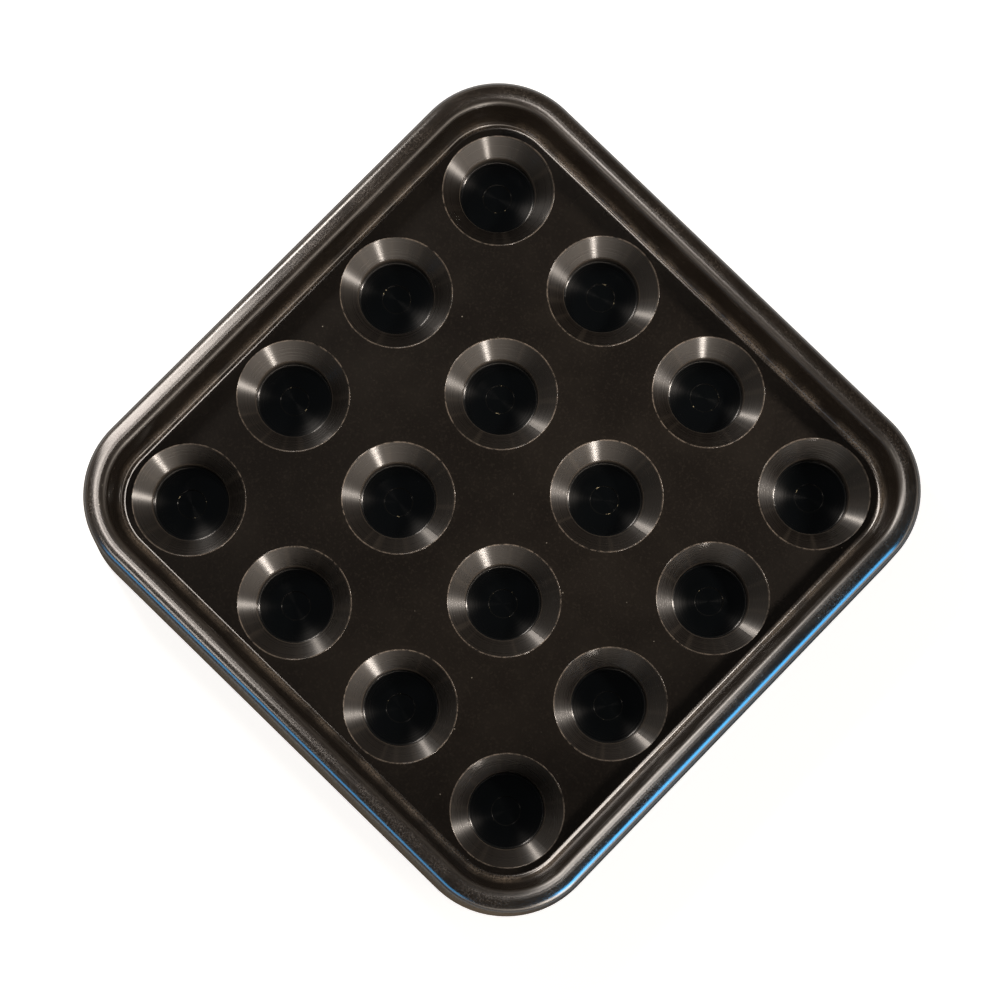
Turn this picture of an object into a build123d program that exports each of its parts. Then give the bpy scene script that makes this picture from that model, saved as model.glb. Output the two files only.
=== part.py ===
"""Square tray that holds sixteen billiard balls, four rows of four, moulded in black plastic.

The tray is one moulding with an even wall. It is written as its natural regions: the flat deck in four
quarters, the sixteen cups that hang from it, and the raised rim in four straight sides and four rounded
corners. Neighbouring regions meet face to face and never overlap.

Millimetres. The origin is the middle of the base, +Z is up, +X is the right and +Y is the back.
"""

import os
from math import atan, cos, pi, radians, sin, tan

from build123d import *

# Driving dimensions
BALL_DIAMETER = 57.15  # standard pool ball, 2 1/4 inches
CUPS_PER_SIDE = 4
CUP_PITCH = 60.5  # centre to centre
TRAY_WIDTH = 266.7  # over the foot of the skirt, 10 1/2 inches
TRAY_HEIGHT = 31.75  # 1 1/4 inches
DECK_TOP = 15.0  # height of the deck's upper face
WALL = 2.5  # wall thickness everywhere

# Cup: a conical seat above a short well
MOUTH_RADIUS = 23.05  # where the seat meets the deck's level
LIP_RADIUS = 25.2  # flat lip round the mouth, level with the deck
WELL_RADIUS = 15.8
SEAT_ANGLE = 45.0  # degrees from the horizontal
WELL_DRAFT = 2.0  # degrees
BALL_CLEARANCE = 1.0  # between a seated ball and the floor of its cup
WITNESS_WIDTH = 0.35  # fine raised line that the mould leaves round the mouth
WITNESS_HEIGHT = 0.12
EJECTOR_RADIUS = 5.75  # sunk round mark that the ejector pin leaves in the floor
EJECTOR_DEPTH = 0.35
SEAT_EDGE_RADIUS = 1.2  # between the seat and the well
WELL_FLOOR_RADIUS = 1.0  # between the well and the floor
CUP_FOOT_RADIUS = 1.0
CUP_WAIST_RADIUS = 2.0  # on the underside, where the seat turns down into the well
CUP_NECK_RADIUS = 0.5  # on the underside, where the lip turns down into the seat

# Rim section, in distances from the middle of the tray
CORNER_CENTRE = 92.2  # each corner arc of the rim turns about this point
DECK_EDGE = 116.0  # the deck ends and the rim begins
WALL_FOOT = 118.0
INNER_SHOULDER = 121.8
OUTER_SHOULDER = 130.9
CROWN_HEIGHT = 0.6  # rise of the top's middle above its two shoulders, before it is rounded
COVE_RADIUS = 2.4
INNER_SHOULDER_RADIUS = 4.0
OUTER_SHOULDER_RADIUS = 4.0
CROWN_RADIUS = 6.0
FOOT_RADIUS = 0.5
SMALLEST_RADIUS = 0.4  # inside a bend that is tighter than the wall is thick

# Worked out from the driving dimensions
seat_slope = tan(radians(SEAT_ANGLE))
draft_slope = tan(radians(WELL_DRAFT))
ball_radius = BALL_DIAMETER / 2
contact_radius = ball_radius * sin(radians(SEAT_ANGLE))  # where a seated ball touches the seat
contact_height = DECK_TOP - (MOUTH_RADIUS - contact_radius) * seat_slope
ball_bottom = contact_height + ball_radius * cos(radians(SEAT_ANGLE)) - ball_radius
cup_floor = ball_bottom - BALL_CLEARANCE
seat_bottom = DECK_TOP - (MOUTH_RADIUS - WELL_RADIUS) * seat_slope
well_floor = WELL_RADIUS - (seat_bottom - cup_floor) * draft_slope
seat_shift = WALL / sin(radians(SEAT_ANGLE))  # horizontal distance between the seat's two faces
neck = MOUTH_RADIUS + seat_shift - WALL / seat_slope  # here the flat underside ends
waist = WELL_RADIUS + WALL
waist_height = DECK_TOP - (MOUTH_RADIUS + seat_shift - waist) * seat_slope
cup_foot = waist - waist_height * draft_slope
grid_edge = (CUPS_PER_SIDE - 1) / 2 * CUP_PITCH
crown_angle = atan(2 * CROWN_HEIGHT / (OUTER_SHOULDER - INNER_SHOULDER))
crown_corner = TRAY_HEIGHT + CROWN_RADIUS * (1 / cos(crown_angle) - 1)  # rounding leaves the full height
shoulder_height = crown_corner - CROWN_HEIGHT
skirt_draft = atan((TRAY_WIDTH / 2 - OUTER_SHOULDER) / shoulder_height)
foot_corner = TRAY_WIDTH / 2 + FOOT_RADIUS * (1 / tan(pi / 4 - skirt_draft / 2) - 1)


def save(part, name):
    """Labels one finished piece and writes it under its node's name."""
    part.label = name
    export_step(part, f"parts/{name}.step")


def shifted(points, distance):
    """The corners of an open polyline moved to its right-hand side, each run staying parallel to itself."""
    runs = [(Vector(*end) - Vector(*start)).normalized() for start, end in zip(points, points[1:])]
    normals = [Vector(run.Y, -run.X) for run in runs]
    moved = []
    for index, point in enumerate(points):
        before = normals[max(index - 1, 0)]
        after = normals[min(index, len(normals) - 1)]
        bisector = (before + after).normalized()
        moved.append(Vector(*point) + bisector * (distance / bisector.dot(after)))
    return moved


def rim_outline():
    """Corners of the rim's section, out over the top and back underneath, and the radius at each one."""
    outer = [
        (DECK_EDGE, DECK_TOP),
        (WALL_FOOT, DECK_TOP),
        (INNER_SHOULDER, shoulder_height),
        ((INNER_SHOULDER + OUTER_SHOULDER) / 2, crown_corner),
        (OUTER_SHOULDER, shoulder_height),
        (foot_corner, 0),
    ]
    bends = [COVE_RADIUS, INNER_SHOULDER_RADIUS, CROWN_RADIUS, OUTER_SHOULDER_RADIUS]
    inner = shifted(outer, WALL)
    skirt_run = inner[-1] - inner[-2]
    inner[-1] = inner[-2] - skirt_run * (inner[-2].Y / skirt_run.Y)
    inner_bends = [COVE_RADIUS + WALL] + [max(radius - WALL, SMALLEST_RADIUS) for radius in bends[1:]]
    corners = outer + inner[::-1]
    rounding = [0, *bends, FOOT_RADIUS, FOOT_RADIUS, *inner_bends[::-1], 0]
    return corners, rounding


def rim_plane(side, along):
    """Plane across the rim at a distance along one side: its X axis points outwards and its Y axis up."""
    outwards = Vector(1, 0, 0).rotate(Axis.Z, 90 * side)
    forwards = Vector(0, 1, 0).rotate(Axis.Z, 90 * side)
    return Plane(origin=forwards * along, x_dir=outwards, z_dir=forwards * -1)


os.makedirs("parts", exist_ok=True)

# Deck: four flat quarters, each with a round hole for every cup in it
corner_names = ["back_right", "back_left", "front_left", "front_right"]
for quarter, corner_name in enumerate(corner_names):
    quarter_centre = Vector(DECK_EDGE / 2, DECK_EDGE / 2, 0).rotate(Axis.Z, 90 * quarter)
    with BuildPart() as deck_quarter:
        with BuildSketch(Plane.XY.offset(DECK_TOP)):
            RectangleRounded(2 * DECK_EDGE, 2 * DECK_EDGE, DECK_EDGE - CORNER_CENTRE)
            with GridLocations(CUP_PITCH, CUP_PITCH, CUPS_PER_SIDE, CUPS_PER_SIDE):
                Circle(LIP_RADIUS, mode=Mode.SUBTRACT)
            with Locations(quarter_centre):
                Rectangle(DECK_EDGE, DECK_EDGE, mode=Mode.INTERSECT)
        extrude(amount=-WALL)
    save(deck_quarter.part, f"deck_quarter_{corner_name}")

# Ball cups: row 1 is at the front and column 1 at the left
cup_corners = [
    (0, 0),
    (cup_foot, 0),
    (waist, waist_height),
    (neck, DECK_TOP - WALL),
    (LIP_RADIUS, DECK_TOP - WALL),
    (LIP_RADIUS, DECK_TOP),
    (MOUTH_RADIUS, DECK_TOP),
    (WELL_RADIUS, seat_bottom),
    (well_floor, cup_floor),
    (EJECTOR_RADIUS + EJECTOR_DEPTH, cup_floor),
    (EJECTOR_RADIUS, cup_floor - EJECTOR_DEPTH),
    (0, cup_floor - EJECTOR_DEPTH),
]
cup_rounding = [
    0,
    CUP_FOOT_RADIUS,
    CUP_WAIST_RADIUS,
    CUP_NECK_RADIUS,
    0,
    0,
    0,
    SEAT_EDGE_RADIUS,
    WELL_FLOOR_RADIUS,
    0,
    0,
    0,
]
witness_points = [
    (MOUTH_RADIUS, DECK_TOP),
    (MOUTH_RADIUS + WITNESS_WIDTH / 2, DECK_TOP + WITNESS_HEIGHT),
    (MOUTH_RADIUS + WITNESS_WIDTH, DECK_TOP),
]
for row in range(CUPS_PER_SIDE):
    for column in range(CUPS_PER_SIDE):
        centre = (column * CUP_PITCH - grid_edge, row * CUP_PITCH - grid_edge, 0)
        with BuildPart() as ball_cup:
            with BuildSketch(Plane(origin=centre, x_dir=(1, 0, 0), z_dir=(0, -1, 0))):
                with BuildLine():
                    FilletPolyline(*cup_corners, radius=cup_rounding, close=True)
                make_face()
                with BuildLine():
                    ThreePointArc(*witness_points)
                    Line(witness_points[2], witness_points[0])
                make_face()
            revolve(axis=Axis(centre, (0, 0, 1)))
        save(ball_cup.part, f"ball_cup_r{row + 1}c{column + 1}")

# Rim: each straight side, and the corner that follows it anticlockwise
side_names = ["right", "back", "left", "front"]
rim_corners, rim_rounding = rim_outline()
for side, (side_name, corner_name) in enumerate(zip(side_names, corner_names)):
    with BuildPart() as rim_side:
        with BuildSketch(rim_plane(side, 0)):
            with BuildLine():
                FilletPolyline(*rim_corners, radius=rim_rounding, close=True)
            make_face()
        extrude(amount=CORNER_CENTRE, both=True)
    save(rim_side.part, f"rim_side_{side_name}")

    turning_point = Vector(CORNER_CENTRE, CORNER_CENTRE, 0).rotate(Axis.Z, 90 * side)
    with BuildPart() as rim_corner:
        with BuildSketch(rim_plane(side, CORNER_CENTRE)):
            with BuildLine():
                FilletPolyline(*rim_corners, radius=rim_rounding, close=True)
            make_face()
        revolve(axis=Axis(turning_point, (0, 0, 1)), revolution_arc=90)
    save(rim_corner.part, f"rim_corner_{corner_name}")
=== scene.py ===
"""Looks of the sixteen-ball tray: moulded black plastic under studio lamps, seen from nearly overhead.

Metres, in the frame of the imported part: the origin is the middle of the base and +Z is up. Every visible
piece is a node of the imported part, which gets one of three procedural plastics: deck, cup or rim.
"""

from math import radians

import bpy
from mathutils import Matrix, Vector

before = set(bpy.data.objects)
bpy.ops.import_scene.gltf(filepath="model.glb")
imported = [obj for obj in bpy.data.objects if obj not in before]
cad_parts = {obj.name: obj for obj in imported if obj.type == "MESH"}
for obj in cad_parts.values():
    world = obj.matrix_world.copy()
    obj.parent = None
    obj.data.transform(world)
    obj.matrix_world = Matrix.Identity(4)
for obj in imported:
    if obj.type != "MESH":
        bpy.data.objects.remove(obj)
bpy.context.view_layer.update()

MM = 0.001
CUP_PITCH = 60.5 * MM  # centre to centre
DECK_TOP = 15.0 * MM  # height of the deck's upper face
MOUTH_RADIUS = 23.05 * MM  # of a cup, where its seat meets the deck's level
WELL_RADIUS = 15.8 * MM  # of a cup, below its seat
EJECTOR_RADIUS = 5.75 * MM  # of the round mark in a cup's floor
CORNER_CENTRE = 92.2 * MM  # each corner of the rim turns about this distance from the middle
SHOULDER_OUT = 131.0 * MM  # the rim's outer shoulder, as a distance from the middle
SHOULDER_UP = 31.0 * MM  # and its height
scene = bpy.context.scene


# ---------------------------------------------------------------- camera
def make_camera():
    """A camera nearly straight above, turned so that one corner of the tray points up the picture."""
    data = bpy.data.cameras.new("camera")
    camera = bpy.data.objects.new("camera", data)
    scene.collection.objects.link(camera)
    data.sensor_width = 36.0
    data.lens = 77.72
    data.shift_x = 0.0265
    data.shift_y = 0.1391
    right = Vector((0.71604, 0.69772, 0.02172)).normalized()
    back = Vector((0.04237, -0.07450, 0.99632)).normalized()
    up = back.cross(right).normalized()
    right = up.cross(back)
    place = Vector((69.63, -115.86, 877.1)) * MM + Vector((0, 0, DECK_TOP))
    turn = Matrix((right, up, back)).transposed()
    camera.matrix_world = Matrix.Translation(place) @ turn.to_4x4()
    data.clip_start = 0.01
    data.clip_end = 20.0
    scene.camera = camera


# ---------------------------------------------------------------- node helpers
class Graph:
    """Adds nodes to one node tree. An input may be a plain value or another node's output."""

    def __init__(self, tree):
        self.tree = tree

    def add(self, kind, *values, **settings):
        """A new node with its first inputs filled in order."""
        node = self.tree.nodes.new(kind)
        for key, value in settings.items():
            setattr(node, key, value)
        for socket, value in zip(node.inputs, values):
            self.put(socket, value)
        return node

    def put(self, socket, value):
        if isinstance(value, bpy.types.NodeSocket):
            self.tree.links.new(value, socket)
        else:
            socket.default_value = value

    def math(self, operation, *values, clamp=False):
        return self.add("ShaderNodeMath", *values, operation=operation, use_clamp=clamp).outputs[0]

    def scaled(self, value, factor, offset):
        """value * factor + offset"""
        return self.math("MULTIPLY_ADD", value, factor, offset)

    def product(self, first, *others):
        for other in others:
            first = self.math("MULTIPLY", first, other)
        return first

    def step(self, value, start, end):
        """Rises smoothly from 0 at start to 1 at end; start may be above end."""
        span = (start, end, 0.0, 1.0) if start < end else (end, start, 1.0, 0.0)
        return self.add("ShaderNodeMapRange", value, *span, interpolation_type="SMOOTHSTEP").outputs[0]

    def band(self, value, low, lower, upper, high):
        """1 between lower and upper, falling smoothly to 0 at low and at high."""
        return self.product(self.step(value, low, lower), self.step(value, high, upper))

    def mix(self, factor, first, second):
        node = self.add("ShaderNodeMix", data_type="RGBA")
        for name, value in {"Factor": factor, "A": first, "B": second}.items():
            self.put(node.inputs[name], value)
        return node.outputs["Result"]

    def noise(self, place, scale, detail=2.0, roughness=0.5):
        node = self.add("ShaderNodeTexNoise")
        settings = {"Vector": place, "Scale": scale, "Detail": detail, "Roughness": roughness}
        for name, value in settings.items():
            self.put(node.inputs[name], value)
        return node.outputs["Fac"]

    def line_noise(self, value, detail=2.0):
        """Noise that changes along one number only, about once per unit."""
        node = self.add("ShaderNodeTexNoise", noise_dimensions="1D")
        for name, setting in {"W": value, "Scale": 1.0, "Detail": detail}.items():
            self.put(node.inputs[name], setting)
        return node.outputs["Fac"]

    def split(self, vector):
        return self.add("ShaderNodeSeparateXYZ", vector).outputs

    def flat_length(self, x, y):
        flat = self.add("ShaderNodeCombineXYZ", x, y, 0.0)
        return self.add("ShaderNodeVectorMath", flat.outputs[0], operation="LENGTH").outputs["Value"]

    def tint(self, colour, level):
        """A colour times a level."""
        node = self.add("ShaderNodeVectorMath", colour, operation="SCALE")
        self.put(node.inputs["Scale"], level)
        return node.outputs[0]


# ---------------------------------------------------------------- light and floor
WARM = (1.0, 0.89, 0.79)
BLUE = (0.09, 0.50, 1.0)
MIDDLE = (0, 0, DECK_TOP)
FRONT_SHOULDER = (0, -SHOULDER_OUT, SHOULDER_UP)
RIGHT_SHOULDER = (SHOULDER_OUT, 0, SHOULDER_UP)

# name, place, target, width and height, watts, colour, words in the names of the nodes it lights, spread
LAMPS = [
    ("lamp_right_front", (0.44, -0.162, 0.12), MIDDLE, (0.05, 0.05), 1.7, WARM, "cup deck", 180),
    ("lamp_right_back", (0.325, 0.37, 0.30), MIDDLE, (0.05, 0.05), 4.0, WARM, "cup deck", 180),
    ("lamp_low_left", (-0.60, 0.08, 0.17), MIDDLE, (0.05, 0.05), 1.4, WARM, "cup", 180),
    ("lamp_rim_right", (0.44, -0.162, 0.20), MIDDLE, (0.16, 0.16), 1.3, WARM, "rim", 180),
    ("lamp_left", (-0.62, 0.10, 0.50), MIDDLE, (0.16, 0.16), 3.8, (1.0, 0.91, 0.83), "", 180),
    ("lamp_window", (-0.42, -0.05, 0.60), MIDDLE, (0.16, 0.80), 9.0, (1.0, 0.90, 0.82), "rim", 180),
    ("lamp_front", (-0.15, -0.40, 0.52), MIDDLE, (0.20, 0.08), 0.8, WARM, "rim", 180),
    ("strip_front", (0, -0.178, 0.062), FRONT_SHOULDER, (0.24, 0.022), 0.020, BLUE, "rim", 60),
    ("strip_right", (0.172, 0, 0.072), RIGHT_SHOULDER, (0.22, 0.032), 0.085, BLUE, "rim", 60),
]


def make_lamp(name, place, target, size, watts, colour, lit, spread):
    """A rectangular lamp that faces a target. With no words in lit, it lights everything."""
    data = bpy.data.lights.new(name, "AREA")
    data.shape = "RECTANGLE"
    data.size, data.size_y = size
    data.energy = watts
    data.color = colour
    data.spread = radians(spread)
    lamp = bpy.data.objects.new(name, data)
    scene.collection.objects.link(lamp)
    lamp.location = place
    lamp.rotation_euler = (Vector(target) - Vector(place)).to_track_quat("-Z", "Y").to_euler()
    lamp.visible_camera = False
    if lit:
        receivers = bpy.data.collections.new(f"{name}_receivers")
        for node_name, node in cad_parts.items():
            if any(word in node_name for word in lit.split()):
                receivers.objects.link(node)
        lamp.light_linking.receiver_collection = receivers


def make_world():
    """A dark ceiling, darkest just right of the zenith, over a warm band low down, strongest at the right.

    The camera itself sees a plain pale backdrop.
    """
    world = bpy.data.worlds.new("studio")
    scene.world = world
    world.use_nodes = True
    graph = Graph(world.node_tree)
    x, y, z = graph.split(graph.add("ShaderNodeTexCoord").outputs["Generated"])
    azimuth = graph.math("ARCTAN2", y, x)
    lobes = []
    for centre, strength in ((-8, 6.5), (172, 1.3)):
        turned = graph.math("SUBTRACT", azimuth, radians(centre))
        lobe = graph.scaled(graph.math("COSINE", turned), 0.5, 0.5)
        lobes.append(graph.product(graph.math("POWER", lobe, 4.0), strength))
    level = graph.math("ADD", graph.math("ADD", lobes[0], lobes[1]), 0.25)
    ring = graph.band(graph.math("ARCSINE", z), radians(7), radians(11), radians(20), radians(34))
    ring_light = graph.tint((1.0, 0.86, 0.73), graph.product(ring, level))
    dark_side = graph.product(graph.step(x, 0.0, 0.04), graph.step(z, 0.80, 0.95))
    ceiling = graph.tint((0.046, 0.051, 0.055), graph.scaled(dark_side, -0.75, 1.0))
    total = graph.add("ShaderNodeVectorMath", ring_light, ceiling, operation="ADD").outputs[0]
    seen = graph.add("ShaderNodeLightPath").outputs["Is Camera Ray"]
    backdrop = graph.mix(seen, total, (0.92, 0.92, 0.92, 1))
    graph.put(world.node_tree.nodes["Background"].inputs["Color"], backdrop)


def make_floor():
    """A pale floor whose brightness is mostly its own glow, so that the tray's shadow hardly shows."""
    mesh = bpy.data.meshes.new("floor")
    half = 12.0
    corners = [(-half, -half, 0), (half, -half, 0), (half, half, 0), (-half, half, 0)]
    mesh.from_pydata(corners, [], [(0, 1, 2, 3)])
    floor = bpy.data.objects.new("floor", mesh)
    scene.collection.objects.link(floor)
    material = bpy.data.materials.new("pale_floor")
    material.use_nodes = True
    shader = material.node_tree.nodes["Principled BSDF"]
    shader.inputs["Base Color"].default_value = (0.70, 0.72, 0.74, 1)
    shader.inputs["Roughness"].default_value = 0.9
    shader.inputs["Specular IOR Level"].default_value = 0.1
    shader.inputs["Emission Color"].default_value = (1, 1, 1, 1)
    shader.inputs["Emission Strength"].default_value = 0.75
    mesh.materials.append(material)


# ---------------------------------------------------------------- materials
DECK_DARK = (0.0052, 0.0039, 0.0029, 1)
DECK_LIGHT = (0.0075, 0.0058, 0.0043, 1)
DECK_GRAIN = (0.022, 0.018, 0.014, 1)
SPECK = (0.22, 0.20, 0.17, 1)
SEAT_DARK = (0.0040, 0.0033, 0.0028, 1)
SEAT_LIGHT = (0.0065, 0.0054, 0.0045, 1)
# painted highlight: colour of the radial streaks on each seat
SEAT_STREAK_HIGHLIGHT = (0.016, 0.0135, 0.011, 1)
# painted highlight: the bright line along each cup's mouth edge
MOUTH_HIGHLIGHT = (0.10, 0.083, 0.068, 1)
# painted highlight: the light line at the edge of each well
WELL_EDGE_HIGHLIGHT = (0.045, 0.038, 0.031, 1)
# painted shade: the well's floor is darker and bluer than the rest of the plastic
WELL_SHADE = (0.0015, 0.0019, 0.0022, 1)
EJECTOR_LINE = (0.012, 0.012, 0.011, 1)
# painted glints: bright dots on the ejector mark
EJECTOR_GLINT = (0.30, 0.26, 0.17, 1)
TOP_DUST = (0.034, 0.028, 0.022, 1)
FOOT_DUST = (0.060, 0.048, 0.036, 1)
SKIRT_CLEAN = (0.020, 0.0160, 0.0125, 1)
# dust and painted light: the front skirt's lighter tan colour
SKIRT_DUST_AND_LIGHT = (0.075, 0.058, 0.040, 1)


def start_plastic(name):
    """A new plastic: its material, node graph, shader and the place of the point being shaded."""
    material = bpy.data.materials.new(name)
    material.use_nodes = True
    graph = Graph(material.node_tree)
    shader = material.node_tree.nodes["Principled BSDF"]
    shader.inputs["IOR"].default_value = 1.5
    place = graph.add("ShaderNodeNewGeometry").outputs["Position"]
    return material, graph, shader, place


def add_bump(graph, shader, height, strength):
    bump = graph.add("ShaderNodeBump")
    for name, value in {"Strength": strength, "Distance": 0.05 * MM, "Height": height}.items():
        graph.put(bump.inputs[name], value)
    graph.put(shader.inputs["Normal"], bump.outputs["Normal"])


def cup_coordinates(graph, place):
    """Distance from the nearest cup's axis, the angle round it, and a number that differs from cup to cup."""
    offsets = []
    cells = []
    for part in graph.split(place)[:2]:
        wrapped = graph.math("WRAP", part, CUP_PITCH, 0.0)
        offsets.append(graph.math("SUBTRACT", wrapped, CUP_PITCH / 2))
        cells.append(graph.math("FLOOR", graph.math("DIVIDE", part, CUP_PITCH)))
    distance = graph.flat_length(*offsets)
    angle = graph.math("ARCTAN2", offsets[1], offsets[0])
    number = graph.scaled(cells[0], 7.31, graph.math("MULTIPLY", cells[1], 3.17))
    return distance, angle, number


def rim_coordinates(graph, place):
    """Distance from the middle, square to the nearest side and round the corners' arcs, and the height."""
    parts = graph.split(place)
    past = []
    for part in parts[:2]:
        size = graph.math("ABSOLUTE", part)
        past.append(graph.math("MAXIMUM", graph.math("SUBTRACT", size, CORNER_CENTRE), 0.0))
    return graph.math("ADD", graph.flat_length(*past), CORNER_CENTRE), parts[2]


def specks(graph, place):
    """Small scattered dots where a cell texture comes close to its points, kept on a few cells only."""
    cells = graph.add("ShaderNodeTexVoronoi", feature="F1")
    graph.put(cells.inputs["Vector"], place)
    graph.put(cells.inputs["Scale"], 420.0)
    near = graph.step(cells.outputs["Distance"], 0.16, 0.05)
    chosen = graph.add("ShaderNodeSeparateColor", cells.outputs["Color"]).outputs[0]
    return graph.product(near, graph.step(chosen, 0.975, 0.995))


def satin_top(graph, place):
    """Colour of the tray's satin top, nearly even with faint mottling, grain and specks, and the mottling."""
    mottle = graph.noise(place, 35.0, 3.0)
    grain = graph.step(graph.noise(place, 1100.0), 0.5, 0.75)
    colour = graph.mix(graph.step(mottle, 0.35, 0.7), DECK_DARK, DECK_LIGHT)
    colour = graph.mix(graph.product(grain, 0.30), colour, DECK_GRAIN)
    colour = graph.mix(graph.product(specks(graph, place), 0.8), colour, SPECK)
    return colour, mottle


def make_deck():
    material, graph, shader, place = start_plastic("deck_plastic")
    colour, mottle = satin_top(graph, place)
    graph.put(shader.inputs["Base Color"], colour)
    graph.put(shader.inputs["Roughness"], graph.scaled(mottle, 0.10, 0.22))
    return material


def well_colour(graph, place, distance):
    """Dark, bluish floor of painted shade, with the ejector pin's round mark, which has painted glints in
    places.
    """
    start = EJECTOR_RADIUS - 0.1 * MM
    end = EJECTOR_RADIUS + 0.45 * MM
    mark = graph.band(distance, start, start + 0.2 * MM, end - 0.2 * MM, end)
    # Painted glints on the ejector mark.
    glint = graph.product(mark, graph.step(graph.noise(place, 420.0), 0.64, 0.70))
    # Painted shade on the well's floor, with the ejector mark's line.
    colour = graph.mix(graph.product(mark, 0.3), WELL_SHADE, EJECTOR_LINE)
    return graph.mix(glint, colour, EJECTOR_GLINT)


def painted_seat_streaks(graph, angle, number):
    """Painted highlight streaks running radially across the seat, in other places on each cup."""
    noise = graph.line_noise(graph.scaled(angle, 5.0, graph.product(number, 3.0)))
    return graph.step(noise, 0.5, 0.75)


def make_cup():
    """Turned seat with a ringed sheen and painted highlight streaks, a dark well with painted shade, and a
    lip that continues the deck.
    """
    material, graph, shader, place = start_plastic("cup_plastic")
    distance, angle, number = cup_coordinates(graph, place)
    deck_colour, mottle = satin_top(graph, place)
    on_seat = graph.step(distance, WELL_RADIUS - 0.25 * MM, WELL_RADIUS + 0.10 * MM)
    on_lip = graph.step(distance, MOUTH_RADIUS + 0.3 * MM, MOUTH_RADIUS + 0.5 * MM)
    off_lip = graph.math("SUBTRACT", 1.0, on_lip)
    rings = graph.line_noise(graph.scaled(distance, 1700.0, number), 3.0)
    ring_shade = graph.step(rings, 0.3, 0.7)

    seat_colour = graph.mix(ring_shade, SEAT_DARK, SEAT_LIGHT)
    colour = graph.mix(on_seat, well_colour(graph, place, distance), seat_colour)
    # Painted highlight streaks on the seat.
    seat_streaks = graph.product(painted_seat_streaks(graph, angle, number), on_seat)
    colour = graph.mix(graph.product(seat_streaks, 0.6), colour, SEAT_STREAK_HIGHLIGHT)
    # Painted highlight along the edge of the well.
    well_edge = [WELL_RADIUS + shift * MM for shift in (-0.2, 0.0, 0.15, 0.4)]
    colour = graph.mix(graph.product(graph.band(distance, *well_edge), 0.7), colour, WELL_EDGE_HIGHLIGHT)
    colour = graph.mix(on_lip, colour, deck_colour)
    # Painted highlight along the mouth edge, broken up in places by noise.
    mouth_edge = [MOUTH_RADIUS + shift * MM for shift in (-0.3, 0.0, 0.3, 0.45)]
    mouth_highlight_breaks = graph.step(graph.noise(place, 500.0, 3.0, 0.7), 0.32, 0.62)
    colour = graph.mix(graph.product(graph.band(distance, *mouth_edge), mouth_highlight_breaks), colour, MOUTH_HIGHLIGHT)
    graph.put(shader.inputs["Base Color"], colour)

    bare = graph.scaled(graph.step(distance, 0.45 * WELL_RADIUS, 0.95 * WELL_RADIUS), 0.15, 0.12)
    ringed = graph.product(graph.scaled(ring_shade, 0.035, bare), off_lip)
    satin = graph.product(graph.scaled(mottle, 0.10, 0.22), on_lip)
    graph.put(shader.inputs["Roughness"], graph.math("ADD", ringed, satin))
    graph.put(shader.inputs["Anisotropic"], graph.product(off_lip, 0.88))
    shader.inputs["Anisotropic Rotation"].default_value = 0.25
    tangent = graph.add("ShaderNodeTangent", direction_type="RADIAL", axis="Z")
    graph.put(shader.inputs["Tangent"], tangent.outputs["Tangent"])
    add_bump(graph, shader, graph.product(rings, off_lip, graph.scaled(on_seat, 0.85, 0.15)), 0.06)
    return material


def rim_dust(graph, distance, grain, patches):
    """Where the rim's top is, the dust in patches on it, and the dust at the foot of the inner wall."""
    top = graph.band(distance, 121.0 * MM, 124.0 * MM, 129.0 * MM, 131.5 * MM)
    top_dust = graph.product(graph.step(grain, 0.42, 0.72), graph.step(patches, 0.30, 0.65), top)
    foot = graph.band(distance, 116.0 * MM, 117.2 * MM, 118.2 * MM, 119.6 * MM)
    foot_dust = graph.product(foot, graph.step(grain, 0.35, 0.65), graph.step(patches, 0.35, 0.6))
    return top, top_dust, foot_dust


def make_rim():
    """Satin top and inner wall with fine lines along the rim, and a matte skirt, lighter at the front from
    dust grain and painted light.
    """
    material, graph, shader, place = start_plastic("rim_plastic")
    colour, mottle = satin_top(graph, place)
    distance, height = rim_coordinates(graph, place)
    grain = graph.noise(place, 1500.0, 3.0, 0.65)
    patches = graph.noise(place, 60.0, 3.0)
    top, top_dust, foot_dust = rim_dust(graph, distance, grain, patches)
    outside = graph.step(distance, 130.0 * MM, 130.6 * MM)
    skirt = graph.product(outside, graph.step(height, 30.4 * MM, 29.4 * MM))
    # The front skirt is lighter: dust grain plus painted light.
    front = graph.step(graph.split(place)["Y"], -100.0 * MM, -132.0 * MM)
    skirt_dust_and_light = graph.product(front, graph.step(grain, 0.25, 0.65))
    colour = graph.mix(graph.product(top_dust, 0.60), colour, TOP_DUST)
    colour = graph.mix(foot_dust, colour, FOOT_DUST)
    colour = graph.mix(skirt, colour, graph.mix(skirt_dust_and_light, SKIRT_CLEAN, SKIRT_DUST_AND_LIGHT))
    graph.put(shader.inputs["Base Color"], colour)

    shoulder = graph.band(distance, 120.6 * MM, 122.0 * MM, 123.5 * MM, 125.5 * MM)
    roughness = graph.scaled(top_dust, 0.10, graph.scaled(mottle, 0.10, 0.15))
    roughness = graph.scaled(shoulder, 0.10, roughness)
    graph.put(shader.inputs["Roughness"], graph.math("MULTIPLY_ADD", skirt, 0.7, roughness, clamp=True))
    graph.put(shader.inputs["Specular IOR Level"], graph.scaled(skirt, -0.5, 0.5))
    lines = graph.line_noise(graph.product(distance, 1300.0))
    roughened = graph.product(grain, graph.scaled(top, 0.6, 0.2))
    add_bump(graph, shader, graph.scaled(lines, 0.8, roughened), 0.12)
    return material


make_camera()
make_world()
make_floor()
for lamp_row in LAMPS:
    make_lamp(*lamp_row)

plastics = {"deck": make_deck(), "ball": make_cup(), "rim": make_rim()}
for name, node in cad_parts.items():
    for slot in node.material_slots:
        slot.material = plastics[name.split("_")[0]]

scene.view_settings.view_transform = "Standard"
